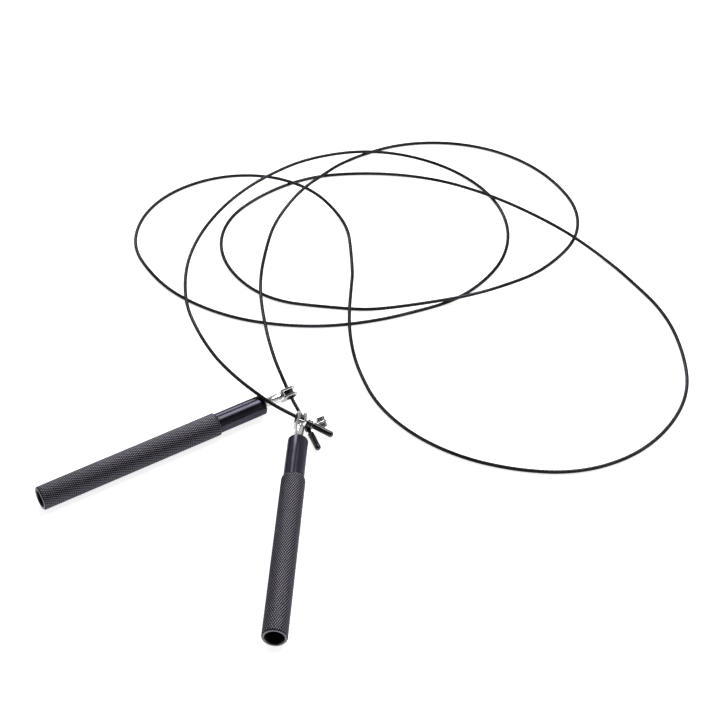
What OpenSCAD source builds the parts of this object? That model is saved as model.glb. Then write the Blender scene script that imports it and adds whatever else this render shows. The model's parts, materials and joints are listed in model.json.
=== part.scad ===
// Jump rope: two turned aluminium handles that spin on ball bearings, each joined
// by a forked spindle to one long coated wire cable lying in loose loops.
// Millimetres, +Z up, floor at Z = 0, origin on the floor under the middle of the outline.

/* [Cable] */
// Outside diameter of the coated cable
cable_d = 2.5; // [2.3:0.1:2.6]
// Diameter of the twisted steel wire inside the coating
wire_d = 1.44; // [1.2:0.04:1.44]
// Height of the cable where it crosses over one strand
cross_h = 4; // [4:0.1:4.4]

/* [Handles] */
// Outside diameter of the knurled grip
grip_d = 16; // [15.6:0.1:16]
// Length of the knurled grip
grip_l = 128; // [110:1:132]
// Outside diameter of the smooth neck
neck_d = 13.6; // [12.8:0.1:14]
// Length of the smooth neck
neck_l = 35; // [33:1:38]
// Bore of the hollow grip
bore_d = 12; // [11:0.1:12.4]

/* [Joints and stops] */
// Distance from the neck's mouth to the middle of the fork's eye
eye_reach = 21; // [20.6:0.1:21.6]
// Diameter of the part of the spindle that shows
spindle_d = 6.2; // [5.8:0.1:6.4]
// Outside diameter of a stop barrel
stop_d = 5; // [4.8:0.1:5]
// Diameter of a thumbscrew's knurled head
knob_d = 8; // [7:0.1:8]
// Diameter of a rubber end cap
cap_d = 4.4; // [4:0.1:4.4]

/* [Hidden] */
$fa = 6;
$fs = 0.5;
gap = 0.03;          // running clearance on a radius
past = 1;            // how far a cutting shape runs past the face it cuts

// ---- where the two eyes are, and how each handle lies: 1 is the left one, 2 the right
middle = [-2.27, 19.62, 0];   // the outline's middle, taken off every place below
eye_1 = [-61, -32.3, grip_d / 2] - middle;
// the second eye is held up over the first free end, so that handle leans on its rear rim
rise = 2.2;
eye_2 = [-52.5, -60.3, grip_d / 2 + rise] - middle;
chamfer = 0.8;
lean = asin(rise / (eye_reach + neck_l + grip_l - chamfer));
// each handle's axis, from rear to eye
along_1 = heading(32.7, 0);
along_2 = heading(86.8, -lean);
// the cable's way out through each eye towards its free end
out_1 = heading(-67.5, 14);
out_2 = heading(-19.5, 18.94);
eye_run = 7;         // straight run of cable on the rope side of an eye
// the way each eye's hole points; the cable runs a little askew through the first
hole_1 = heading(-67.5, 29);
hole_2 = out_2;

// ---- the first free end drops past its eye, then runs on to the floor almost level
level_1 = [-52.8, -49.35, 3.6] - middle;
lie_1 = heading(-68.2, 2.25);
level_run = 34.2;
tip_1 = level_1 + level_run * lie_1;
tail_2 = 24.3;       // the second free end is straight from the eye to its tip
tip_2 = eye_2 + tail_2 * out_2;
cap_l = 15;
cap_end = 1.4;       // rubber beyond the end of the cable
cap_rim = 4.5;       // bead round a cap's open end
rim_l = 0.9;
stop_l = 3.8;
stop_edge = 0.3;
stop_run_1 = 12.9;   // from where the first free end levels out to its stop
stop_run_2 = 6.9;    // from the second eye to its stop
stop_1 = level_1 + stop_run_1 * lie_1;
stop_2 = eye_2 + stop_run_2 * out_2;
screw_d = 2;
shank_to = 7.5;      // a thumbscrew's shank runs from the cable to its head
knob_l = 5.4;
knob_edge = 0.3;
knob_neck = 1;       // cone from the shank out to the head
socket = 1;          // hexagon in the second stop's screw, which has no head
screw_way_1 = heading(21.6, -8.5);   // the first screw lies nearly level, the second stands up
screw_way_2 = [0, 0, 1];

// ---- fork and bushes
tine_t = 1.6;
tine_gap = 3;
tine_d = 10;
fork_w = tine_gap + 2 * tine_t;
block_d = 12;        // turned block the fork is cut from
block_back = 2.6;    // the block starts this far behind the tines' round ends
block_taper = 1.8;   // and widens over this length
slot_back = 0.8;     // the slot's floor is this far behind the tines' round ends
flange_t = 0.4;
bush_d = 6.4;
flange_d = bush_d + 0.4;
bush_bore = 5.4;
bush_end = 0.2;      // each bush stops this far short of the eye's middle

// ---- bearings, 5 x 10 x 4, pressed in the neck; x runs from the neck's mouth inwards
race_d = 10;
race_bore = 5;
race_w = 4;
race_wall = 0.85;
pocket = 24;         // depth of the bearing pocket
track_d = 7.5;       // circle the ball centres run on
ball_d = 1.6;
ball_n = 9;
cage_wall = 0.6;
cage_w = 3;
front_x = -race_w;
rear_x = -pocket;
slip = 0.01;         // hairline between pieces that are fixed together

// ---- the rest of a handle
step_bore = 8.4;     // behind the bearings, wide enough for the nut
bore_start = neck_l + 4;
collar_d = 9.2;
collar_x = 0.4;
collar_l = 1.6;
collar_cone = 1.4;
thread_d = 4;
thread_past = 2;     // thread showing beyond the nut
washer_t = 0.8;
washer_d = 7.6;
nut_w = 7;           // across flats
nut_l = 3.2;
spacer_d = 6.2;

floor_h = cable_d / 2;
station_turn = 8;    // degrees of bend between two rings of the cable's skin
sides = 8;
over = cross_h;

function unit(v) = v / norm(v);
function heading(az, dip) = [cos(dip) * cos(az), cos(dip) * sin(az), -sin(dip)];

// How the rope lies between its eyes: each point is [x, y, height of the cable's middle].
lay = [
    // up from the left eye, over two strands of the outer loops
    [-73.7, 9.2, 7], [-81, 46, over], [-86, 84, over], [-85, 131, floor_h], [-77, 174, 2.4],
    // over the far crossings and round the far right
    [-57, 210, 6.9], [-45, 226, 6.4], [-26, 251, 3.2], [-2, 270, floor_h], [66, 281, floor_h],
    [133, 240, floor_h], [155, 165, floor_h], [125, 114, 1.8],
    // the long shallow crossing, then back round the inner loop
    [87, 87, over], [32, 69, over], [-17, 66, floor_h], [-95, 92, floor_h], [-119, 146, floor_h],
    [-67, 225, floor_h], [0, 238, floor_h], [49, 227, 2.4],
    // over two strands and into the big loop on the right
    [86, 206, over], [120, 181, 3.4], [149, 151, over], [181, 111, floor_h], [212, 38, floor_h],
    [204, -41, floor_h], [147, -95, floor_h], [69, -93, floor_h], [6, -46, floor_h],
    // up through the middle, over two strands, then the loop on the left
    [-15, 4, 1.8], [-20.5, 44, over], [-20.5, 65, over], [-19, 118, 1.6], [-28, 176, 2.4],
    [-59, 216, 4.3], [-102, 234, 2.2], [-158, 215, floor_h], [-185, 153, floor_h],
    [-162, 99, floor_h], [-116, 62, floor_h], [-58, 47, floor_h], [11, 57, floor_h],
    [71, 90, floor_h], [99, 142, floor_h],
    // the last loop, high over the far strands, and down over the left handle
    [91, 205, floor_h], [47, 251, 2.6], [-4, 265, 4.2], [-52, 253, 5.6], [-88, 225, 7.1],
    [-123, 178, 6.6], [-141, 123, 5.2], [-140, 75, 4.4], [-124, 25, 7.6], [-99.5, -21.1, 15],
    [-83.6, -40.6, 16.6], [-72.2, -50.6, 15.4]
];

route = concat(
    [tip_1 - cap_end * lie_1, level_1, eye_1, eye_1 - eye_run * out_1],
    [for (p = lay) p - middle],
    [eye_2 - eye_run * out_2, tip_2 - cap_end * out_2]
);
last = len(route) - 1;

// Direction of the circle through three neighbouring points, at the middle one
function bend(a, b, c) = let (u = b - a, w = c - b) unit(u / (u * u) + w / (w * w));
// Where the cable touches the floor it runs level
function settle(d, height) = height > floor_h ? d : unit([d[0], d[1], 0]);
function direction(i) =
    i <= 1 ? -lie_1 : i <= 3 ? -out_1 : i >= last - 1 ? out_2
    : settle(bend(route[i - 1], route[i], route[i + 1]), route[i][2]);

// Where the two arcs that join p to q meet, leaving along t and arriving along s
function meeting(p, t, q, s) =
    let (v = q - p, w = t + s, b = v * w, c = 2 * (1 - t * s))
    let (d = (v * v) / (b + sqrt(b * b + c * (v * v))))
    (p + q + d * (t - s)) / 2;

// ---- frames
module frame_x(origin, x_dir, z_like) {
    y_dir = unit(cross(z_like, x_dir));
    z_dir = cross(x_dir, y_dir);
    multmatrix([
        [x_dir[0], y_dir[0], z_dir[0], origin[0]],
        [x_dir[1], y_dir[1], z_dir[1], origin[1]],
        [x_dir[2], y_dir[2], z_dir[2], origin[2]]
    ]) children();
}

// Puts a handle's own frame in place: X along its axis, the eye's hole along Z
module at_handle(eye, x_dir, way) {
    hole = unit(way - (way * x_dir) * x_dir);
    frame_x(eye - eye_reach * x_dir, x_dir, hole) children();
}

module ring_x(x, length, outer, inner) {
    translate([x, 0, 0]) rotate([0, 90, 0]) difference() {
        cylinder(d = outer, h = length);
        translate([0, 0, -past]) cylinder(d = inner, h = length + 2 * past);
    }
}

// ---- cable
nearly_straight = 0.002;   // a bend flatter than this is drawn as one straight step

// Middle points of the cable along one arc that leaves p along t and ends at q
function arc_points(p, t, q) =
    let (w = q - p, along = w * t, side = w - along * t)
    norm(side) < nearly_straight ? [p] :
    let (
        r = (w * w) / (2 * norm(side)),
        n = side / norm(side),
        sweep = 2 * atan2(norm(side), along),
        steps = ceil(sweep / station_turn)
    )
    [for (k = [0 : steps - 1]) let (g = sweep * k / steps) p + r * (1 - cos(g)) * n + r * sin(g) * t];

centre_line = concat(
    [for (i = [0 : last - 1])
        let (p = route[i], q = route[i + 1], t = direction(i), s = direction(i + 1))
        let (m = meeting(p, t, q, s), chord = unit(m - p), turned = 2 * (chord * t) * chord - t)
        each concat(arc_points(p, t, m), arc_points(m, turned, q))],
    [route[last]]
);
stations = len(centre_line);

// One ring of points round the middle line, square to its direction
function ring(i, d) =
    let (
        before = centre_line[max(i - 1, 0)],
        after = centre_line[min(i + 1, stations - 1)],
        t = unit(after - before),
        across = unit(cross([0, 0, 1], t)),
        up = cross(t, across)
    )
    [for (k = [0 : sides - 1]) let (g = 360 * (k + 0.5) / sides)
        centre_line[i] + d / 2 * (cos(g) * across + sin(g) * up)];

function skin(first, outward) = [
    for (i = [0 : stations - 2], k = [0 : sides - 1])
        let (
            a = first + i * sides + k,
            b = first + i * sides + (k + 1) % sides,
            c = b + sides,
            e = a + sides
        )
        each outward ? [[a, c, b], [a, e, c]] : [[a, b, c], [a, c, e]]
];

module rod(d) {
    polyhedron(
        [for (i = [0 : stations - 1]) each ring(i, d)],
        concat(
            skin(0, true),
            [[for (k = [0 : sides - 1]) k]],
            [[for (k = [0 : sides - 1]) stations * sides - 1 - k]]
        )
    );
}

module tube(outer, inner) {
    bore = stations * sides;       // first point of the bore's rings
    end = bore - sides;            // first point of the last outer ring
    polyhedron(
        concat(
            [for (i = [0 : stations - 1]) each ring(i, outer)],
            [for (i = [0 : stations - 1]) each ring(i, inner)]
        ),
        concat(
            skin(0, true),
            skin(bore, false),
            [for (k = [0 : sides - 1]) let (n = (k + 1) % sides)
                each [[k, n, bore + n], [k, bore + n, bore + k]]],
            [for (k = [0 : sides - 1]) let (n = (k + 1) % sides)
                each [[end + k, bore + end + n, end + n], [end + k, bore + end + k, bore + end + n]]]
        )
    );
}

module cable_jacket() {
    color([0.05, 0.05, 0.06]) tube(cable_d, wire_d + 2 * gap);
}

module wire_core() {
    color([0.55, 0.56, 0.58]) rod(wire_d);
}

// ---- handle tube: knurled grip, smooth neck, open rear end
module handle_tube() {
    rear = -neck_l - grip_l;
    color([0.08, 0.08, 0.09]) difference() {
        rotate([0, 90, 0]) rotate([0, 0, 90]) rotate_extrude() polygon([
            [0, rear],
            [grip_d / 2 - chamfer, rear],
            [grip_d / 2, rear + chamfer],
            [grip_d / 2, -neck_l - chamfer],
            [grip_d / 2 - chamfer, -neck_l],
            [neck_d / 2, -neck_l],
            [neck_d / 2, -chamfer / 2],
            [neck_d / 2 - chamfer / 2, 0],
            [0, 0]
        ]);
        rotate([0, 90, 0]) {
            translate([0, 0, rear - past])
                cylinder(d = bore_d, h = grip_l + neck_l - bore_start + past);
            translate([0, 0, -bore_start - past]) cylinder(d = step_bore, h = bore_start);
            translate([0, 0, -pocket]) cylinder(d = race_d, h = pocket + past);
        }
    }
}

// ---- bearings
module groove() {
    translate([track_d / 2, race_w / 2]) circle(d = ball_d + 2 * gap);
}

module outer_race(x) {
    color([0.75, 0.76, 0.78]) translate([x, 0, 0]) rotate([0, 90, 0]) rotate_extrude() difference() {
        translate([race_d / 2 - race_wall, 0]) square([race_wall - slip, race_w]);
        groove();
    }
}

module inner_race(x) {
    color([0.75, 0.76, 0.78]) translate([x, 0, 0]) rotate([0, 90, 0]) rotate_extrude() difference() {
        translate([race_bore / 2, 0]) square([race_wall, race_w]);
        groove();
    }
}

module at_balls(x) {
    for (k = [0 : ball_n - 1])
        translate([x + race_w / 2, 0, 0]) rotate([360 * k / ball_n, 0, 0])
            translate([0, 0, track_d / 2]) children();
}

module balls(x) {
    color([0.85, 0.86, 0.88]) at_balls(x) sphere(d = ball_d);
}

module cage(x) {
    color([0.72, 0.58, 0.3]) difference() {
        ring_x(x + (race_w - cage_w) / 2, cage_w, track_d + cage_wall, track_d - cage_wall);
        at_balls(x) sphere(d = ball_d + 2 * gap);
    }
}

module bearing_spacer() {
    color([0.7, 0.71, 0.73])
        ring_x(rear_x + race_w + slip, pocket - 2 * race_w - 2 * slip, spacer_d, race_bore);
}

// ---- spindle: shaft, collar over the neck's mouth, stem and fork in one piece
module spindle() {
    root = eye_reach - tine_d / 2 - block_back;
    color([0.8, 0.81, 0.83]) difference() {
        union() {
            rotate([0, 90, 0]) {
                translate([0, 0, rear_x - slip]) cylinder(d = race_bore - 2 * slip, h = pocket + collar_x);
                translate([0, 0, rear_x - washer_t - nut_l - thread_past])
                    cylinder(d = thread_d, h = washer_t + nut_l + thread_past + past);
                translate([0, 0, slip]) cylinder(d = spindle_d, h = root + past);
                translate([0, 0, collar_x]) cylinder(d = collar_d, h = collar_l);
                translate([0, 0, collar_x + collar_l])
                    cylinder(d1 = collar_d, d2 = spindle_d, h = collar_cone);
            }
            intersection() {
                rotate([0, 90, 0]) {
                    translate([0, 0, root]) cylinder(d1 = spindle_d, d2 = block_d, h = block_taper);
                    translate([0, 0, root + block_taper]) cylinder(d = block_d, h = eye_reach);
                }
                union() {
                    translate([root, -tine_d / 2, -fork_w / 2])
                        cube([eye_reach - root, tine_d, fork_w]);
                    translate([eye_reach, 0, -fork_w / 2]) cylinder(d = tine_d, h = fork_w);
                }
            }
        }
        translate([eye_reach - tine_d / 2 - slot_back, -tine_d, -tine_gap / 2])
            cube([2 * tine_d, 2 * tine_d, tine_gap]);
        translate([eye_reach, 0, -fork_w]) cylinder(d = bush_d + 2 * slip, h = 2 * fork_w);
    }
}

// Two flanged bushes, one pressed into each tine
module eye_bushes() {
    color([0.04, 0.04, 0.045]) for (side = [0, 1])
        translate([eye_reach, 0, 0]) mirror([0, 0, side]) difference() {
            union() {
                translate([0, 0, fork_w / 2 + slip]) cylinder(d = flange_d, h = flange_t);
                translate([0, 0, bush_end]) cylinder(d = bush_d, h = fork_w / 2);
            }
            cylinder(d = bush_bore, h = fork_w);
        }
}

module lock_washer() {
    color([0.7, 0.71, 0.73])
        ring_x(rear_x - washer_t - slip, washer_t - slip, washer_d, thread_d + 2 * slip);
}

module lock_nut() {
    color([0.7, 0.71, 0.73]) translate([rear_x - washer_t - nut_l - 2 * slip, 0, 0]) rotate([0, 90, 0])
        difference() {
            cylinder(d = nut_w / cos(30), h = nut_l, $fn = 6);
            translate([0, 0, -past]) cylinder(d = thread_d + 2 * slip, h = nut_l + 2 * past);
        }
}

// ---- stop, thumbscrew and end cap: X along the cable, the screw along Z
module stop_barrel() {
    color([0.16, 0.14, 0.13]) difference() {
        rotate([0, 90, 0]) rotate([0, 0, 90]) rotate_extrude() polygon([
            [cable_d / 2 + gap, -stop_l / 2],
            [stop_d / 2 - stop_edge, -stop_l / 2],
            [stop_d / 2, -stop_l / 2 + stop_edge],
            [stop_d / 2, stop_l / 2 - stop_edge],
            [stop_d / 2 - stop_edge, stop_l / 2],
            [cable_d / 2 + gap, stop_l / 2]
        ]);
        cylinder(d = screw_d + 2 * gap, h = stop_d);
    }
}

module thumbscrew() {
    face_d = knob_d - 2 * knob_edge;
    color([0.82, 0.83, 0.85]) union() {
        translate([0, 0, cable_d / 2 + gap]) cylinder(d = screw_d, h = shank_to);
        translate([0, 0, shank_to - knob_neck])
            cylinder(d1 = screw_d, d2 = face_d - 2 * knob_edge, h = knob_neck);
        translate([0, 0, shank_to]) cylinder(d1 = face_d, d2 = knob_d, h = knob_edge);
        translate([0, 0, shank_to + knob_edge]) cylinder(d = knob_d, h = knob_l - 2 * knob_edge);
        translate([0, 0, shank_to + knob_l - knob_edge])
            cylinder(d1 = knob_d, d2 = face_d, h = knob_edge);
    }
}

// A headless screw sunk in its barrel
module set_screw() {
    length = (stop_d - cable_d) / 2 - 2 * gap;
    color([0.3, 0.3, 0.31]) translate([0, 0, cable_d / 2 + gap]) difference() {
        cylinder(d = screw_d, h = length);
        translate([0, 0, length / 2]) cylinder(d = socket / cos(30), h = length, $fn = 6);
    }
}

// The cap's closed end is at the origin and it opens towards -X
module end_cap() {
    color([0.03, 0.03, 0.035]) difference() {
        union() {
            translate([-cap_l, 0, 0]) rotate([0, 90, 0]) {
                cylinder(d = cap_d, h = cap_l - cap_d / 2);
                cylinder(d = cap_rim, h = rim_l);
            }
            translate([-cap_d / 2, 0, 0]) sphere(d = cap_d);
        }
        translate([-cap_l - past, 0, 0]) rotate([0, 90, 0])
            cylinder(d = cable_d + 2 * gap, h = cap_l + past - cap_end + gap);
    }
}

// ---- the pieces in place
module left() { at_handle(eye_1, along_1, hole_1) children(); }
module right() { at_handle(eye_2, along_2, hole_2) children(); }

module left_tube() { left() handle_tube(); }
module left_front_outer_race() { left() outer_race(front_x); }
module left_rear_outer_race() { left() outer_race(rear_x); }
module left_front_inner_race() { left() inner_race(front_x); }
module left_rear_inner_race() { left() inner_race(rear_x); }
module left_front_balls() { left() balls(front_x); }
module left_rear_balls() { left() balls(rear_x); }
module left_front_cage() { left() cage(front_x); }
module left_rear_cage() { left() cage(rear_x); }
module left_bearing_spacer() { left() bearing_spacer(); }
module left_spindle() { left() spindle(); }
module left_eye_bushes() { left() eye_bushes(); }
module left_lock_washer() { left() lock_washer(); }
module left_lock_nut() { left() lock_nut(); }
module left_stop_barrel() { frame_x(stop_1, lie_1, screw_way_1) stop_barrel(); }
module left_thumbscrew() { frame_x(stop_1, lie_1, screw_way_1) thumbscrew(); }
module left_end_cap() { frame_x(tip_1, lie_1, screw_way_1) end_cap(); }

module right_tube() { right() handle_tube(); }
module right_front_outer_race() { right() outer_race(front_x); }
module right_rear_outer_race() { right() outer_race(rear_x); }
module right_front_inner_race() { right() inner_race(front_x); }
module right_rear_inner_race() { right() inner_race(rear_x); }
module right_front_balls() { right() balls(front_x); }
module right_rear_balls() { right() balls(rear_x); }
module right_front_cage() { right() cage(front_x); }
module right_rear_cage() { right() cage(rear_x); }
module right_bearing_spacer() { right() bearing_spacer(); }
module right_spindle() { right() spindle(); }
module right_eye_bushes() { right() eye_bushes(); }
module right_lock_washer() { right() lock_washer(); }
module right_lock_nut() { right() lock_nut(); }
module right_stop_barrel() { frame_x(stop_2, out_2, screw_way_2) stop_barrel(); }
module right_set_screw() { frame_x(stop_2, out_2, screw_way_2) set_screw(); }
module right_end_cap() { frame_x(tip_2, out_2, screw_way_2) end_cap(); }

cable_jacket();
wire_core();
left_tube();
left_front_outer_race();
left_rear_outer_race();
left_front_inner_race();
left_rear_inner_race();
left_front_balls();
left_rear_balls();
left_front_cage();
left_rear_cage();
left_bearing_spacer();
left_spindle();
left_eye_bushes();
left_lock_washer();
left_lock_nut();
left_stop_barrel();
left_thumbscrew();
left_end_cap();
right_tube();
right_front_outer_race();
right_rear_outer_race();
right_front_inner_race();
right_rear_inner_race();
right_front_balls();
right_rear_balls();
right_front_cage();
right_rear_cage();
right_bearing_spacer();
right_spindle();
right_eye_bushes();
right_lock_washer();
right_lock_nut();
right_stop_barrel();
right_set_screw();
right_end_cap();
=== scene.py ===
import json
import math

import bpy
import numpy as np
from mathutils import Matrix, Vector


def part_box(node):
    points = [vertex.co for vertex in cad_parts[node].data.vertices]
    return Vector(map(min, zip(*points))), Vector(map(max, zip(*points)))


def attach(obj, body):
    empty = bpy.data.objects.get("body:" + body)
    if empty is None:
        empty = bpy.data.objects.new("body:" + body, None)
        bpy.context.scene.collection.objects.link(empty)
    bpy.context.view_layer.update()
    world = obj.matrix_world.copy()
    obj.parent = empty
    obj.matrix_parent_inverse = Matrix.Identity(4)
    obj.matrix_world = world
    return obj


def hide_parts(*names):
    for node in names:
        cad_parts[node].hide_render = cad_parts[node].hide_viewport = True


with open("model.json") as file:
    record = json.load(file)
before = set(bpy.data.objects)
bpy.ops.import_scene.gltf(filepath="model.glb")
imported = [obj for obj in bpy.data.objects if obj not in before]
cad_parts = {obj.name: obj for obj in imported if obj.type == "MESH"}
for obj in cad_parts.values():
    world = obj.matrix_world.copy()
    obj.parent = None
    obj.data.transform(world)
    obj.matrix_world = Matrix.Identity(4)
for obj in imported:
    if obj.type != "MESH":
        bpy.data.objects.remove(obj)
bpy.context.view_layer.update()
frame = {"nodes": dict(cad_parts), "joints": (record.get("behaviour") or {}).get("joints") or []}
MM = 0.001

# ---- sizes of the visible pieces, in millimetres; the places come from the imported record
# handle: grip, neck, bore, and the pocket the bearings sit in (POCKET and BORE_START are depths)
GRIP_R, GRIP_L, NECK_R, NECK_L, BORE_R = 8.0, 128.0, 6.8, 35.0, 6.0
CHAMFER, NECK_CHAMFER, BORE_EDGE = 0.8, 0.45, 0.3
POCKET_R, POCKET, STEP_R, BORE_START = 5.0, 24.0, 4.2, 39.0
# diamonds round the grip and along it, their depth, and how much rougher they are than the neck
KNURL_AROUND, KNURL_PITCH, KNURL_DEPTH, KNURL_MATT = 34, 2.65, 0.36, 0.16
COLUMNS_PER_DIAMOND, ROWS_PER_DIAMOND = 4, 4
# cable: the twist of the wire shows through as shallow lobes
CABLE_R, CABLE_SIDES, CABLE_STEP = 1.25, 24, 1.3
LAY_LENGTH, LOBES, LOBE_DEPTH = 13.0, 6, 0.035
CORE_RING_REACH = 1.7      # an edge of the wire core shorter than this lies in one ring of its mesh
CAP_R, CAP_RIM_R, CAP_L, CAP_END, CAP_STEPS = 2.2, 2.25, 15.0, 1.4, 13
STOP_R, STOP_L = 2.5, 3.8
SCREW_R, THREAD_STEP, THREAD_DEPTH = 1.0, 0.4, 0.14
SHANK_TO, KNOB_R, KNOB_L, KNOB_RIDGES, RIDGE_DEPTH = 7.5, 4.0, 5.4, 28, 0.3
SOCKET_R, SOCKET_DEPTH = 0.55, 0.6
# spindle: shaft in the bearings, threaded end, collar and stem, then the block and its two tines
SHAFT_R, THREAD_R, THREAD_END = 2.49, 2.0, -31.0
EYE_REACH, SPINDLE_R, COLLAR_R = 21.0, 3.1, 4.6
TINE_R, TINE_T, TINE_GAP, TINE_EASE = 5.0, 1.6, 3.0, 0.25
BLOCK_BACK, BLOCK_TAPER, SLOT_BACK = 2.6, 1.8, 0.8
BUSH_R, BUSH_BORE_R, FLANGE_R, FLANGE_T, BUSH_END = 3.2, 2.7, 3.4, 0.4, 0.2
ROUND = 48                 # points round a small turned piece

# ---- light: a glowing white table, walls bright low down, a dark ceiling, dimmer towards the camera
FLOOR_GLOW, HORIZON_LIGHT, CEILING_LIGHT, FRONT_DIM = 0.8, 0.8, 0.08, 0.35
FLOOR_HALF, FLOOR_DROP = 4000, 0.2


# ---- materials
class Look:
    """A Principled material with a few procedural layers on top of it."""

    def __init__(self, name, color, metallic, roughness, coat=0.0):
        self.m = bpy.data.materials.new(name)
        self.m.use_nodes = True
        self.t = self.m.node_tree
        self.b = self.t.nodes["Principled BSDF"]
        self.b.inputs["Base Color"].default_value = (*color, 1)
        self.b.inputs["Metallic"].default_value = metallic
        self.b.inputs["Roughness"].default_value = roughness
        self.b.inputs["Coat Weight"].default_value = coat
        self.m.diffuse_color = (*color, 1)
        self.normal = None

    def node(self, kind, **values):
        n = self.t.nodes.new(kind)
        for key, value in values.items():
            if key in n.inputs:
                n.inputs[key].default_value = value
            else:
                setattr(n, key, value)
        return n

    def link(self, a, b):
        self.t.links.new(a, b)

    def coords(self, kind, scale=(1, 1, 1)):
        source = self.node("ShaderNodeTexCoord")
        mapping = self.node("ShaderNodeMapping")
        mapping.inputs["Scale"].default_value = scale
        self.link(source.outputs[kind], mapping.inputs["Vector"])
        return mapping.outputs["Vector"]

    def noise(self, vector, scale, detail=4.0, rough=0.55):
        n = self.node("ShaderNodeTexNoise", Scale=scale, Detail=detail, Roughness=rough)
        self.link(vector, n.inputs["Vector"])
        return n.outputs["Fac"]

    def ramp(self, value, low, high, a, b):
        n = self.node("ShaderNodeMapRange")
        n.inputs["From Min"].default_value = low
        n.inputs["From Max"].default_value = high
        n.inputs["To Min"].default_value = a
        n.inputs["To Max"].default_value = b
        self.link(value, n.inputs["Value"])
        return n.outputs["Result"]

    def mix(self, factor, a, b):
        n = self.node("ShaderNodeMix", data_type="RGBA")
        self.link(factor, n.inputs[0])
        for socket, value in ((n.inputs[6], a), (n.inputs[7], b)):
            if isinstance(value, tuple):
                socket.default_value = (*value, 1)
            else:
                self.link(value, socket)
        return n.outputs[2]

    def color(self, socket):
        self.link(socket, self.b.inputs["Base Color"])

    def rough(self, socket):
        self.link(socket, self.b.inputs["Roughness"])

    def bump(self, height, distance, strength=1.0):
        n = self.node("ShaderNodeBump", Distance=distance, Strength=strength)
        self.link(height, n.inputs["Height"])
        if self.normal:
            self.link(self.normal, n.inputs["Normal"])
        self.normal = n.outputs["Normal"]
        self.link(self.normal, self.b.inputs["Normal"])

    def attribute(self, name):
        n = self.node("ShaderNodeAttribute", attribute_name=name)
        return n.outputs["Fac"]


def anodised_look():
    """Black anodised aluminium, with painted shade darkening the valleys of the knurl, and its peaks paler,
    partly from wear and partly as a painted highlight.
    """
    k = Look("black_anodised", (0.03, 0.03, 0.036), 0.9, 0.34)
    place = k.coords("Object")
    cloud = k.noise(place, 60)
    grain = k.noise(k.coords("Object"), 2600, 2)
    base = k.mix(k.ramp(cloud, 0.35, 0.7, 0, 1), (0.037, 0.034, 0.046), (0.052, 0.049, 0.064))
    knurl = k.attribute("knurl")
    # painted shade: on the knurled grip the colour drops to near black in the valleys; painted highlight,
    # partly wear: the peaks are coloured pale
    wear_and_painted_highlight = k.mix(k.attribute("peak"), k.mix(knurl, base, (0.01, 0.009, 0.013)), (0.45, 0.43, 0.5))
    k.color(wear_and_painted_highlight)
    matt = k.node("ShaderNodeMath", operation="MULTIPLY_ADD")
    k.link(knurl, matt.inputs[0])
    matt.inputs[1].default_value = KNURL_MATT
    k.link(k.ramp(cloud, 0.3, 0.7, 0.2, 0.3), matt.inputs[2])
    k.rough(matt.outputs[0])
    k.b.inputs["Specular Tint"].default_value = (0.5, 0.49, 0.55, 1)
    k.bump(grain, 0.00002, 0.2)
    return k.m


def turned_look():
    """Bare turned aluminium at the rear rim, with a fine grain and darker smudges."""
    k = Look("bare_rim", (0.6, 0.6, 0.62), 1.0, 0.35)
    place = k.coords("Object")
    k.color(k.mix(k.noise(place, 300), (0.07, 0.07, 0.08), (0.26, 0.26, 0.28)))
    k.rough(k.ramp(k.noise(place, 900), 0.3, 0.7, 0.3, 0.5))
    k.bump(k.noise(place, 4000, 2), 0.00001, 0.4)
    return k.m


def bore_look():
    """Unpolished metal inside the bore and the bearing pocket, coloured darker than the outside as painted
    shade in the recess.
    """
    k = Look("dark_bore", (0.012, 0.012, 0.014), 0.3, 0.6)
    place = k.coords("Object")
    # painted shade: the bore and pocket are coloured far darker than the anodised outside
    k.color(k.mix(k.noise(place, 120), (0.008, 0.008, 0.01), (0.02, 0.02, 0.024)))
    k.rough(k.ramp(k.noise(place, 500), 0.3, 0.7, 0.5, 0.75))
    k.bump(k.noise(place, 1500), 0.00002, 0.4)
    return k.m


def cable_look():
    """Smoky black coating with the twisted strands showing faintly through it."""
    k = Look("cable_coating", (0.01, 0.01, 0.012), 0.75, 0.3)
    uv = k.coords("UV")
    split = k.node("ShaderNodeSeparateXYZ")
    k.link(uv, split.inputs["Vector"])
    wave = k.node("ShaderNodeMath", operation="MULTIPLY_ADD")
    k.link(split.outputs["Y"], wave.inputs[0])
    wave.inputs[1].default_value = 2 * math.pi * LOBES
    twist = k.node("ShaderNodeMath", operation="MULTIPLY")
    k.link(split.outputs["X"], twist.inputs[0])
    twist.inputs[1].default_value = -2 * math.pi * LOBES
    k.link(twist.outputs[0], wave.inputs[2])
    sine = k.node("ShaderNodeMath", operation="SINE")
    k.link(wave.outputs[0], sine.inputs[0])
    strands = k.ramp(sine.outputs[0], -1, 1, 0, 1)
    cloud = k.noise(k.coords("Object"), 90)
    dark = k.mix(cloud, (0.009, 0.008, 0.008), (0.02, 0.018, 0.019))
    drift = k.ramp(k.noise(k.coords("Object"), 14, 2), 0.42, 0.62, 0, 1)
    smoky = k.mix(drift, (0.035, 0.033, 0.032), (0.085, 0.078, 0.095))
    k.color(k.mix(strands, dark, smoky))
    k.rough(k.ramp(cloud, 0.3, 0.7, 0.26, 0.42))
    k.b.inputs["Specular IOR Level"].default_value = 0.2
    k.b.inputs["Specular Tint"].default_value = (0.08, 0.08, 0.09, 1)
    k.bump(strands, 0.00005, 0.5)
    k.bump(k.noise(k.coords("Object"), 2500, 2), 0.00001, 0.3)
    return k.m


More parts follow.
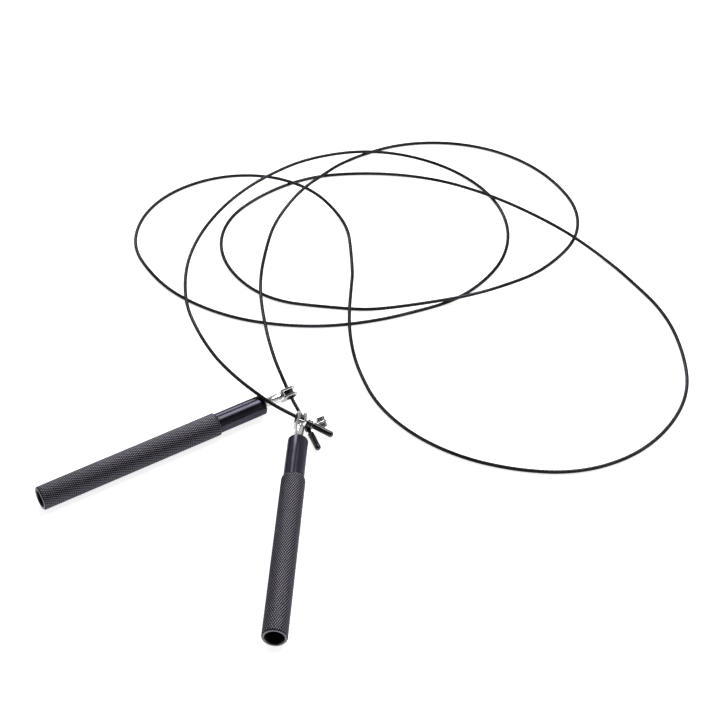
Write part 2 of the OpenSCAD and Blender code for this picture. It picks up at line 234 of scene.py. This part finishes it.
def plated_look(name, low, high, rough_low, rough_high, edge_shade=0.6, metallic=1.0):
    """A plated or ground metal, clouded and unevenly shiny, with a painted dark reflection that darkens it
    where it is seen edge-on.
    """
    k = Look(name, high, metallic, rough_low)
    place = k.coords("Object")
    clouded = k.mix(k.ramp(k.noise(place, 260), 0.3, 0.7, 0, 1), low, high)
    edge = k.node("ShaderNodeLayerWeight", Blend=0.5)
    # painted dark reflection: the colour falls to a fraction of the low colour where the surface is seen
    # edge-on
    painted_edge_reflection = tuple(c * edge_shade for c in low)
    k.color(k.mix(k.ramp(edge.outputs["Facing"], 0.35, 0.85, 0, 1), clouded, painted_edge_reflection))
    k.rough(k.ramp(k.noise(place, 700), 0.3, 0.7, rough_low, rough_high))
    k.bump(k.noise(k.coords("Object", (1, 1, 6)), 900, 3), 0.00001, 0.25)
    return k.m


def moulded_look(name, low, high, rough_low, rough_high, coat):
    """Moulded black rubber or nylon: slightly wavy skin, dust-dulled patches."""
    k = Look(name, high, 0.0, rough_low, coat)
    place = k.coords("Object")
    k.color(k.mix(k.noise(place, 400), low, high))
    k.rough(k.ramp(k.noise(place, 240), 0.3, 0.7, rough_low, rough_high))
    k.bump(k.noise(place, 450, 3), 0.00006, 0.3)
    k.b.inputs["Coat Roughness"].default_value = 0.04
    return k.m


ANODISED = anodised_look()
BARE = turned_look()
BORE = bore_look()
CABLE = cable_look()
CHROME = plated_look("chrome", (0.7, 0.69, 0.71), (0.86, 0.85, 0.87), 0.05, 0.14, 0.12)
STEEL = plated_look("bright_steel", (0.5, 0.51, 0.53), (0.7, 0.71, 0.73), 0.2, 0.35)
BRASS = plated_look("cage_brass", (0.6, 0.45, 0.2), (0.75, 0.58, 0.3), 0.25, 0.4)
DARK = plated_look("dark_oxide", (0.03, 0.026, 0.024), (0.11, 0.09, 0.08), 0.22, 0.4)
RUBBER = moulded_look("black_rubber", (0.003, 0.003, 0.003), (0.007, 0.007, 0.008), 0.1, 0.2, 0.35)
NYLON = moulded_look("black_nylon", (0.012, 0.012, 0.013), (0.028, 0.028, 0.03), 0.35, 0.5, 0.0)


# ---- mesh helpers
def piece(name, verts, faces, materials, sharp=35, face_slots=None, place=None):
    """A mesh object from points in millimetres, set in place by a matrix and shaded by angle."""
    mesh = bpy.data.meshes.new(name)
    mesh.from_pydata([tuple(v) for v in np.asarray(verts) * MM], [], [tuple(f) for f in faces])
    for m in materials:
        mesh.materials.append(m)
    if face_slots is not None:
        mesh.polygons.foreach_set("material_index", np.asarray(face_slots, np.int32))
    mesh.polygons.foreach_set("use_smooth", np.ones(len(mesh.polygons), bool))
    mesh.update()
    mesh.set_sharp_from_angle(angle=math.radians(sharp))
    if place is not None:
        mesh.transform(place)
    obj = bpy.data.objects.new(name, mesh)
    bpy.context.scene.collection.objects.link(obj)
    return obj


def grid_faces(rows, columns, closed_rows=False, first=0):
    """Quads of a tube whose points are rows of rings, each ring closed on itself."""
    faces = []
    for i in range(rows if closed_rows else rows - 1):
        a, b = first + i * columns, first + (i + 1) % rows * columns
        for k in range(columns):
            n = (k + 1) % columns
            faces.append((a + k, a + n, b + n, b + k))
    return faces


def lathe(profile, columns, radius_at=None, closed=False):
    """Rings round the X axis through (x, r) points; ends are closed with a fan unless the profile is."""
    angle = np.arange(columns) * 2 * math.pi / columns
    rows = []
    for x, r in profile:
        radius = np.full(columns, r) if radius_at is None else radius_at(x, r, angle)
        rows.append(np.stack([np.full(columns, x), radius * np.cos(angle), radius * np.sin(angle)], 1))
    verts = np.concatenate(rows)
    faces = grid_faces(len(rows), columns, closed)
    if not closed:
        faces.append(tuple(range(columns - 1, -1, -1)))
        start = (len(rows) - 1) * columns
        faces.append(tuple(range(start, start + columns)))
    return verts, faces


def merge(*parts):
    """Several (points, faces) pairs as one."""
    verts, faces, first = [], [], 0
    for v, f in parts:
        verts.append(np.asarray(v, float))
        faces += [tuple(i + first for i in face) for face in f]
        first += len(v)
    return np.concatenate(verts), faces


def turned(part, matrix):
    """A (points, faces) pair with its points moved by a matrix."""
    v, f = part
    m = np.array(matrix)
    return np.asarray(v) @ m[:3, :3].T + m[:3, 3], f


def axes_matrix(origin, x_axis, z_like):
    """Frame with X along x_axis and Z as near z_like as it can be, at a place in metres."""
    x = Vector(x_axis).normalized()
    y = Vector(z_like).cross(x).normalized()
    z = x.cross(y)
    m = Matrix((x, y, z)).transposed().to_4x4()
    m.translation = Vector(origin)
    return m


JOINTS = {j["name"]: j for j in frame["joints"]}
X_TO_Z = Matrix.Rotation(math.radians(-90), 4, "Y")


# ---- handles
def knurl_radius(x, angle):
    """Radius and height (0 to 1) of the knurl at x: diamonds cut below the outside, under the chamfers."""
    rear, front = -NECK_L - GRIP_L, -NECK_L
    u = KNURL_AROUND * angle / (2 * math.pi)
    v = (x - rear) / KNURL_PITCH
    a = np.abs(2 * np.mod(u + v, 1) - 1)
    b = np.abs(2 * np.mod(u - v, 1) - 1)
    height = 1 - np.maximum(a, b)
    cut = GRIP_R - KNURL_DEPTH * (1 - height)
    limit = GRIP_R - CHAMFER + min(x - rear, front - x, CHAMFER)
    return np.minimum(cut, limit), height


def handle(side):
    """Knurled grip, neck and bore as one closed skin, with the knurl's peaks marked for the material, which
    paints them paler, partly as wear and partly as a painted highlight.
    """
    spin = JOINTS[side + "_handle_spin"]
    eye = JOINTS[side + "_eye_turn"]
    rear, shoulder = -NECK_L - GRIP_L, -NECK_L
    columns = KNURL_AROUND * COLUMNS_PER_DIAMOND
    angle = np.arange(columns) * 2 * math.pi / columns
    rows, peaks, slots = [], [], []

    def ring(x, r, slot, peak=0.0):
        rows.append(np.stack([np.full(columns, x), r * np.cos(angle), r * np.sin(angle)], 1))
        peaks.append(np.full(columns, peak) if np.isscalar(peak) else peak)
        slots.append(slot)

    plain = np.ones(columns)
    bare, dark, skin = 1, 2, 0
    ring(rear + 0.5, BORE_R * plain, bare)
    ring(rear, (BORE_R + BORE_EDGE) * plain, bare)
    # the last number is the peak value: the rear edge is painted paler, partly as wear and partly as a
    # painted highlight
    ring(rear, (GRIP_R - CHAMFER) * plain, skin, 0.35)
    edge = 0.1
    steps = int(round((GRIP_L - 2 * edge) / (KNURL_PITCH / ROWS_PER_DIAMOND)))
    for i in range(steps + 1):
        x = rear + edge + (GRIP_L - 2 * edge) * i / steps
        r, height = knurl_radius(x, angle)
        ring(x, r, skin, np.clip(height * 2 - 1, 0, 1))
    # peak values on the shoulder and mouth chamfers paint these edges paler, partly as wear and partly as a
    # painted highlight
    for x, r, peak in (
        (shoulder, GRIP_R - CHAMFER, 0.1), (shoulder, NECK_R + 0.25, 0.0), (shoulder + 0.25, NECK_R, 0.0),
        (-24.0, NECK_R, 0.0), (-12.0, NECK_R, 0.0), (-0.6, NECK_R, 0.0), (-0.4, NECK_R - 0.04, 0.1),
        (-0.1, NECK_R - 0.34, 0.25), (0.0, NECK_R - NECK_CHAMFER, 0.1),
    ):
        ring(x, r * plain, skin, peak)
    for x, r in (
        (0.0, POCKET_R + 0.15), (-0.15, POCKET_R), (-POCKET, POCKET_R), (-POCKET, STEP_R),
        (-BORE_START, STEP_R), (-BORE_START, BORE_R),
    ):
        ring(x, r * plain, dark)
    verts = np.concatenate(rows)
    faces = grid_faces(len(rows), columns, closed_rows=True)
    face_slots = np.repeat(np.array(slots), columns)
    place = axes_matrix(spin["pos_m"], spin["axis"], eye["axis"])
    obj = piece(side + "_handle_tube", verts, faces, [ANODISED, BARE, BORE], 30, face_slots, place)
    peak = obj.data.attributes.new("peak", "FLOAT", "POINT")
    peak.data.foreach_set("value", np.concatenate(peaks).astype(np.float32))
    along = np.array([v[0] for v in verts])
    radius = np.hypot([v[1] for v in verts], [v[2] for v in verts])
    on_grip = (along > rear + 0.05) & (along < shoulder - 0.05) & (radius > NECK_R)
    knurl = obj.data.attributes.new("knurl", "FLOAT", "POINT")
    knurl.data.foreach_set("value", on_grip.astype(np.float32))
    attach(obj, side + "_handle")
    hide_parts(side + "_tube")


# ---- spindle with its fork, and the bushes in the fork's eye
def slab_ring(x, half_y, half_z, corner, count):
    """One ring of a rounded rectangle at x, with the same number of points as the round stem."""
    ring = []
    for k in range(count):
        g = 2 * math.pi * k / count
        c, s = math.cos(g), math.sin(g)
        power = 2 / corner
        y = half_y * math.copysign(abs(c) ** power, c)
        z = half_z * math.copysign(abs(s) ** power, s)
        ring.append((x, y, z))
    return ring


def tine(z0, z1, x_root):
    """A round-ended plate with a hole, from height z0 to z1, with its outer edges eased."""
    count, ease = ROUND, TINE_EASE
    outline, hole = [], []
    for k in range(count):
        g = 2 * math.pi * k / count
        c, s = math.cos(g), math.sin(g)
        if c >= 0:
            outline.append((EYE_REACH + TINE_R * c, TINE_R * s, c, s))
        else:
            reach = (EYE_REACH - x_root) / max(abs(c), abs(s) * (EYE_REACH - x_root) / TINE_R)
            outline.append((EYE_REACH + reach * c, reach * s, 0, math.copysign(1, s)))
        hole.append((EYE_REACH + BUSH_R * c, BUSH_R * s))
    low, high = min(z0, z1), max(z0, z1)
    rows = [
        [(x - ease * nx, y - ease * ny, low) for x, y, nx, ny in outline],
        [(x, y, low + ease) for x, y, nx, ny in outline],
        [(x, y, high - ease) for x, y, nx, ny in outline],
        [(x - ease * nx, y - ease * ny, high) for x, y, nx, ny in outline],
        [(x, y, high) for x, y in hole],
        [(x, y, low) for x, y in hole],
    ]
    return np.array([p for row in rows for p in row]), grid_faces(len(rows), count, closed_rows=True)


def fork(side):
    """The spindle with its collar, block and two tines, and the two bushes in the tines' holes."""
    spin = JOINTS[side + "_handle_spin"]
    eye = JOINTS[side + "_eye_turn"]
    place = axes_matrix(spin["pos_m"], spin["axis"], eye["axis"])
    root = EYE_REACH - TINE_R - BLOCK_BACK
    half = TINE_GAP / 2 + TINE_T
    slot_x = EYE_REACH - TINE_R - SLOT_BACK
    count = 64
    stem = lathe(
        [(THREAD_END, THREAD_R - 0.1), (THREAD_END + 0.2, THREAD_R), (-POCKET, THREAD_R), (-POCKET, SHAFT_R),
         (-0.2, SHAFT_R), (0.0, SPINDLE_R - 0.1), (0.4, SPINDLE_R), (0.4, COLLAR_R - 0.2), (0.6, COLLAR_R),
         (1.8, COLLAR_R), (2.0, COLLAR_R - 0.15), (3.2, SPINDLE_R + 0.25), (3.6, SPINDLE_R),
         (root - 0.1, SPINDLE_R), (root, SPINDLE_R - 0.12), (root + 0.6, SPINDLE_R - 0.12)],
        count,
    )
    rings = [slab_ring(root, SPINDLE_R, half * 0.98, 2.0, count)]
    for part, corner in ((0.2, 2.3), (0.45, 3.0), (0.7, 4.5), (0.9, 7.0), (1.0, 9.0)):
        wide = SPINDLE_R + (TINE_R - SPINDLE_R) * math.sin(part * math.pi / 2)
        rings.append(slab_ring(root + (BLOCK_TAPER - 0.01) * part, wide, half, corner, count))
    block_verts = np.array([p for ring in rings for p in ring])
    block_faces = grid_faces(len(rings), count)
    block_faces.append(tuple(range(count - 1, -1, -1)))
    start = (len(rings) - 1) * count
    block_faces.append(tuple(range(start, start + count)))
    overlap = 0.6
    upper = tine(TINE_GAP / 2, half, slot_x - overlap)
    lower = tine(-TINE_GAP / 2, -half, slot_x - overlap)
    verts, faces = merge(stem, (block_verts, block_faces), upper, lower)
    body = piece(side + "_fork_spindle", verts, faces, [CHROME], 40, None, place)
    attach(body, side + "_fork")
    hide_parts(side + "_spindle")

    profile = [
        (half + FLANGE_T - 0.1, BUSH_BORE_R + 0.05), (half + FLANGE_T, BUSH_BORE_R + 0.15),
        (half + FLANGE_T, FLANGE_R - 0.15), (half + FLANGE_T - 0.15, FLANGE_R), (half, FLANGE_R),
        (half, BUSH_R - 0.02), (BUSH_END, BUSH_R - 0.02), (BUSH_END, BUSH_BORE_R),
    ]
    shift = Matrix.Translation((EYE_REACH, 0, 0))
    one, two = (
        turned(lathe(profile, 40, closed=True), shift @ Matrix.Rotation(math.radians(tilt), 4, "Y"))
        for tilt in (-90, 90)
    )
    verts, faces = merge(one, two)
    bushes = piece(side + "_fork_bushes", verts, faces, [NYLON], 30, None, place)
    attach(bushes, side + "_fork")
    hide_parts(side + "_eye_bushes")


# ---- stops, thumbscrews and end caps
def stop(side):
    """The barrel on the cable's free end, with a shallow groove round its middle."""
    slide = JOINTS[side + "_stop_slide"]
    turn = JOINTS[side + "_screw_turn"]
    place = axes_matrix(turn["pos_m"], slide["axis"], turn["axis"])
    half = STOP_L / 2
    profile = [
        (-half, CABLE_R + 0.1), (-half, STOP_R - 0.38), (-half + 0.14, STOP_R - 0.19),
        (-half + 0.35, STOP_R), (-0.5, STOP_R), (-0.35, STOP_R - 0.12), (0.35, STOP_R - 0.12),
        (0.5, STOP_R), (half - 0.35, STOP_R), (half - 0.14, STOP_R - 0.19), (half, STOP_R - 0.38),
        (half, CABLE_R + 0.1), (half - 0.1, CABLE_R + 0.04), (-half + 0.1, CABLE_R + 0.04),
    ]
    verts, faces = lathe(profile, ROUND, closed=True)
    barrel = piece(side + "_stop", verts, faces, [DARK], 35, None, place)
    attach(barrel, side + "_stop")
    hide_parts(side + "_stop_barrel")


def thumbscrew(side):
    """A threaded shank with a ridged knob, standing out of its barrel."""
    turn = JOINTS[side + "_screw_turn"]
    slide = JOINTS[side + "_stop_slide"]
    place = axes_matrix(turn["pos_m"], slide["axis"], turn["axis"])
    top = SHANK_TO + KNOB_L

    def ridged(x, r, angle):
        if SHANK_TO + 0.25 < x < top - 0.25 and r > 2:
            return r - RIDGE_DEPTH * (0.5 + 0.5 * np.cos(KNOB_RIDGES * angle)) ** 0.7
        return np.full(len(angle), r)

    profile = [(CABLE_R + 0.05, 0.7), (CABLE_R + 0.35, SCREW_R)]
    x = STOP_R + 0.3
    while x < SHANK_TO - 1.3:
        root = SCREW_R - THREAD_DEPTH
        profile += [(x, SCREW_R), (x + 0.3 * THREAD_STEP, root), (x + 0.65 * THREAD_STEP, root)]
        x += THREAD_STEP
    profile += [(SHANK_TO - 1.0, SCREW_R), (SHANK_TO - 0.85, 1.5), (SHANK_TO - 0.2, 2.7), (SHANK_TO, 3.1),
                (SHANK_TO + 0.26, KNOB_R - 0.05)]
    profile += [(SHANK_TO + 0.3 + 0.4 * k, KNOB_R) for k in range(11)]
    profile += [(top - 0.24, KNOB_R - 0.05), (top, KNOB_R - 0.35), (top, 2.9),
                (top - 0.2, 2.6), (top - 0.2, 0.3)]
    points_per_ridge = 6
    verts, faces = turned(lathe(profile, KNOB_RIDGES * points_per_ridge, ridged), X_TO_Z)
    screw = piece(side + "_knob_screw", verts, faces, [CHROME], 28, None, place)
    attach(screw, side + "_screw")
    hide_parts(side + "_thumbscrew")


def set_screw(side):
    """A short headless screw flush with its barrel, with a six-sided socket."""
    turn = JOINTS[side + "_screw_turn"]
    slide = JOINTS[side + "_stop_slide"]
    place = axes_matrix(turn["pos_m"], slide["axis"], turn["axis"])
    top = STOP_R - 0.03

    def six_sided(x, r, angle):
        if r > SOCKET_R:
            return np.full(len(angle), r)
        return r * math.cos(math.pi / 6) / np.cos(np.mod(angle, math.pi / 3) - math.pi / 6)

    profile = [(CABLE_R + 0.05, 0.02), (CABLE_R + 0.05, 0.7), (CABLE_R + 0.3, SCREW_R),
               (top - 0.12, SCREW_R), (top, SCREW_R - 0.12), (top, SOCKET_R + 0.05), (top - 0.08, SOCKET_R),
               (top - SOCKET_DEPTH, SOCKET_R), (top - SOCKET_DEPTH - 0.1, 0.02)]
    verts, faces = turned(lathe(profile, ROUND, six_sided), X_TO_Z)
    screw = piece(side + "_socket_screw", verts, faces, [STEEL], 28, None, place)
    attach(screw, side + "_screw")
    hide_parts(side + "_set_screw")


def cap(side, tip):
    """A round-ended rubber sleeve with a thicker rim at its mouth."""
    slide = JOINTS[side + "_cap_pull"]
    place = axes_matrix(tip, slide["axis"], (0, 0, 1))
    open_end = -CAP_L
    profile = [(open_end + 0.12, CABLE_R + 0.05), (open_end, CABLE_R + 0.2), (open_end, CAP_RIM_R - 0.2),
               (open_end + 0.15, CAP_RIM_R), (open_end + 0.7, CAP_RIM_R), (open_end + 0.95, CAP_R + 0.02),
               (open_end + 1.2, CAP_R), (-6.0, CAP_R - 0.02), (-CAP_R, CAP_R)]
    for k in range(1, CAP_STEPS):
        g = math.pi / 2 * k / CAP_STEPS
        profile.append((-CAP_R + CAP_R * math.sin(g), CAP_R * math.cos(g)))
    profile.append((-0.001, 0.05))
    verts, faces = lathe(profile, 40)
    rubber = piece(side + "_rubber_cap", verts, faces, [RUBBER], 40, None, place)
    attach(rubber, side + "_cap")
    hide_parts(side + "_end_cap")


# ---- cable
def cable_line():
    """The cable's middle line in metres, read from the rings of the CAD wire core's own mesh."""
    mesh = frame["nodes"]["wire_core"].data
    points = np.array([v.co for v in mesh.vertices], float)
    keys, index = {}, []
    for p in np.round(points * 1e6).astype(int):
        index.append(keys.setdefault(tuple(p), len(keys)))
    unique = np.zeros((len(keys), 3))
    unique[index] = points
    edges = {tuple(sorted((index[a], index[b]))) for a, b in (tuple(e.vertices) for e in mesh.edges)}
    group = list(range(len(unique)))

    def top(i):
        while group[i] != i:
            group[i] = group[group[i]]
            i = group[i]
        return i

    ring_reach = CORE_RING_REACH * MM
    longs = []
    for a, b in edges:
        if a == b:
            continue
        if np.linalg.norm(unique[a] - unique[b]) < ring_reach:
            group[top(a)] = top(b)
        else:
            longs.append((a, b))
    rings, neighbours = {}, {}
    for i in range(len(unique)):
        rings.setdefault(top(i), []).append(i)
    for a, b in longs:
        neighbours.setdefault(top(a), set()).add(top(b))
        neighbours.setdefault(top(b), set()).add(top(a))
    middle = {g: unique[members].mean(0) for g, members in rings.items()}
    ends = [g for g in rings if len(neighbours[g]) == 1]
    low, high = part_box("left_end_cap")
    left_cap = (Vector(low) + Vector(high)) / 2
    walk = [min(ends, key=lambda g: (Vector(middle[g]) - left_cap).length)]
    while True:
        onward = [g for g in neighbours[walk[-1]] if len(walk) < 2 or g != walk[-2]]
        if not onward:
            break
        walk.append(onward[0])
    return np.array([middle[g] for g in walk])


def smooth_line(stations, spacing):
    """A finer line through the stations, evenly spaced, by a centripetal Catmull-Rom curve."""
    ends = np.vstack([2 * stations[0] - stations[1], stations, 2 * stations[-1] - stations[-2]])
    fine = []
    for i in range(1, len(ends) - 2):
        p0, p1, p2, p3 = ends[i - 1: i + 3]
        t1 = np.linalg.norm(p1 - p0) ** 0.5
        t2 = t1 + np.linalg.norm(p2 - p1) ** 0.5
        t3 = t2 + np.linalg.norm(p3 - p2) ** 0.5
        steps = max(2, int(np.linalg.norm(p2 - p1) / spacing) + 1)
        t = t1 + (t2 - t1) * np.arange(steps)[:, None] / steps
        a1 = (t1 - t) / t1 * p0 + t / t1 * p1
        a2 = (t2 - t) / (t2 - t1) * p1 + (t - t1) / (t2 - t1) * p2
        a3 = (t3 - t) / (t3 - t2) * p2 + (t - t2) / (t3 - t2) * p3
        b1 = (t2 - t) / t2 * a1 + t / t2 * a2
        b2 = (t3 - t) / (t3 - t1) * a2 + (t - t1) / (t3 - t1) * a3
        fine.append((t2 - t) / (t2 - t1) * b1 + (t - t1) / (t2 - t1) * b2)
    return np.vstack(fine + [stations[-1:]])


def cable():
    """The coated cable as one skin along the smoothed middle line, which it returns in millimetres."""
    line = smooth_line(cable_line(), CABLE_STEP * MM) / MM
    sides = CABLE_SIDES
    count = len(line)
    step = np.linalg.norm(np.diff(line, axis=0), axis=1)
    run = np.concatenate([[0], np.cumsum(step)])
    ahead = np.gradient(line, axis=0)
    ahead /= np.linalg.norm(ahead, axis=1)[:, None]
    across = np.cross([0, 0, 1.0], ahead)
    across /= np.linalg.norm(across, axis=1)[:, None]
    up = np.cross(ahead, across)
    angle = np.arange(sides) * 2 * math.pi / sides
    lay = run[:, None] / LAY_LENGTH * 2 * math.pi
    radius = CABLE_R - LOBE_DEPTH * (0.5 - 0.5 * np.sin(LOBES * (angle[None, :] - lay)))
    verts = (line[:, None, :] + radius[..., None] * (
        np.cos(angle)[None, :, None] * across[:, None, :] + np.sin(angle)[None, :, None] * up[:, None, :]
    )).reshape(-1, 3)
    faces = grid_faces(count, sides)
    faces.append(tuple(range(sides - 1, -1, -1)))
    faces.append(tuple(range((count - 1) * sides, count * sides)))
    obj = piece("coated_cable", verts, faces, [CABLE], 60)
    layer = obj.data.uv_layers.new(name="UVMap")
    loops = np.zeros(len(obj.data.loops), np.int64)
    obj.data.loops.foreach_get("vertex_index", loops)
    row, column = loops // sides, loops % sides
    across_uv = column / sides
    starts = np.arange(0, (count - 1) * sides * 4, 4)
    wrap = np.zeros(len(loops), bool)
    for offset in (1, 2):
        wrap[starts + offset] = column[starts + offset] == 0
    across_uv = np.where(wrap, 1.0, across_uv)
    uv = np.stack([run[row] / LAY_LENGTH, across_uv], 1).astype(np.float32)
    layer.data.foreach_set("uv", uv.ravel())
    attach(obj, "rope")
    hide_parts("cable_jacket", "wire_core")
    return line


line_mm = cable()
for side, end in (("left", line_mm[0]), ("right", line_mm[-1])):
    handle(side)
    fork(side)
    stop(side)
    if side + "_thumbscrew" in frame["nodes"]:
        thumbscrew(side)
    else:
        set_screw(side)
    away = Vector(JOINTS[side + "_cap_pull"]["axis"]).normalized()
    cap(side, Vector(end) * MM + away * CAP_END * MM)

# the pieces inside the handles keep their CAD shape
INSIDE_LOOKS = {"race": STEEL, "spacer": STEEL, "washer": STEEL, "nut": STEEL, "balls": CHROME, "cage": BRASS}
for name, obj in frame["nodes"].items():
    look = INSIDE_LOOKS.get(name.rsplit("_", 1)[-1])
    if look:
        obj.data.materials.clear()
        obj.data.materials.append(look)
        obj.data.polygons.foreach_set("use_smooth", np.ones(len(obj.data.polygons), bool))
        obj.data.set_sharp_from_angle(angle=math.radians(30))

# ---- stage, light and camera
stage = Look("studio_floor", (0.93, 0.93, 0.94), 0.0, 0.55)
stage.b.inputs["Emission Color"].default_value = (1, 1, 1, 1)
stage.b.inputs["Emission Strength"].default_value = FLOOR_GLOW
floor_corners = [(x * FLOOR_HALF, y * FLOOR_HALF, 0) for x, y in ((-1, -1), (1, -1), (1, 1), (-1, 1))]
floor = piece("studio_floor", floor_corners, [(0, 1, 2, 3)], [stage.m])
floor.location.z = -FLOOR_DROP * MM


def softbox(name, place, width, depth, power):
    """A rectangular light, in metres and watts, turned to the middle of the scene."""
    light = bpy.data.lights.new(name, "AREA")
    light.shape = "RECTANGLE"
    light.size, light.size_y = width, depth
    light.energy = power
    lamp = bpy.data.objects.new(name, light)
    bpy.context.scene.collection.objects.link(lamp)
    lamp.location = place
    lamp.rotation_euler = (-Vector(place)).to_track_quat("-Z", "Y").to_euler()


softbox("top_box", (0.45, 0.55, 1.65), 0.9, 0.9, 20)
softbox("back_box", (-0.5, 1.6, 1.1), 0.6, 0.7, 12)

world = bpy.data.worlds.new("studio")
bpy.context.scene.world = world
world.use_nodes = True
tree = world.node_tree
back = tree.nodes["Background"]
toward = tree.nodes.new("ShaderNodeTexCoord")
split = tree.nodes.new("ShaderNodeSeparateXYZ")
tree.links.new(toward.outputs["Generated"], split.inputs["Vector"])


def light_range(direction, low, high, light_low, light_high):
    """Brightness that runs from light_low to light_high as a part of the view direction rises."""
    fade = tree.nodes.new("ShaderNodeMapRange")
    for key, value in (("From Min", low), ("From Max", high), ("To Min", light_low), ("To Max", light_high)):
        fade.inputs[key].default_value = value
    tree.links.new(split.outputs[direction], fade.inputs["Value"])
    return fade


height = light_range("Z", 0.3, 0.75, HORIZON_LIGHT, CEILING_LIGHT)
height.interpolation_type = "SMOOTHSTEP"
front = light_range("Y", -0.6, 0.1, FRONT_DIM, 1.0)
both = tree.nodes.new("ShaderNodeMath")
both.operation = "MULTIPLY"
tree.links.new(height.outputs["Result"], both.inputs[0])
tree.links.new(front.outputs["Result"], both.inputs[1])
back.inputs["Color"].default_value = (1, 1, 1, 1)
seen = tree.nodes.new("ShaderNodeLightPath")
plain = tree.nodes.new("ShaderNodeMix")
plain.inputs[3].default_value = 1.0      # straight from the camera the walls are plain white
tree.links.new(seen.outputs["Is Camera Ray"], plain.inputs[0])
tree.links.new(both.outputs[0], plain.inputs[2])
tree.links.new(plain.outputs[0], back.inputs["Strength"])

# the camera fitted to the photo: its place in metres and how far it looks down in degrees
EYE_PLACE, EYE_DOWN, EYE_LENS = (-0.01073, -0.87162, 0.7542), 41.15, 81.6
camera = bpy.data.cameras.new("camera")
camera.sensor_width = 36
camera.lens = EYE_LENS
eye = bpy.data.objects.new("camera", camera)
bpy.context.scene.collection.objects.link(eye)
eye.location = EYE_PLACE
eye.rotation_euler = (math.radians(90 - EYE_DOWN), 0, 0)
bpy.context.scene.camera = eye
bpy.context.scene.view_settings.view_transform = "Standard"
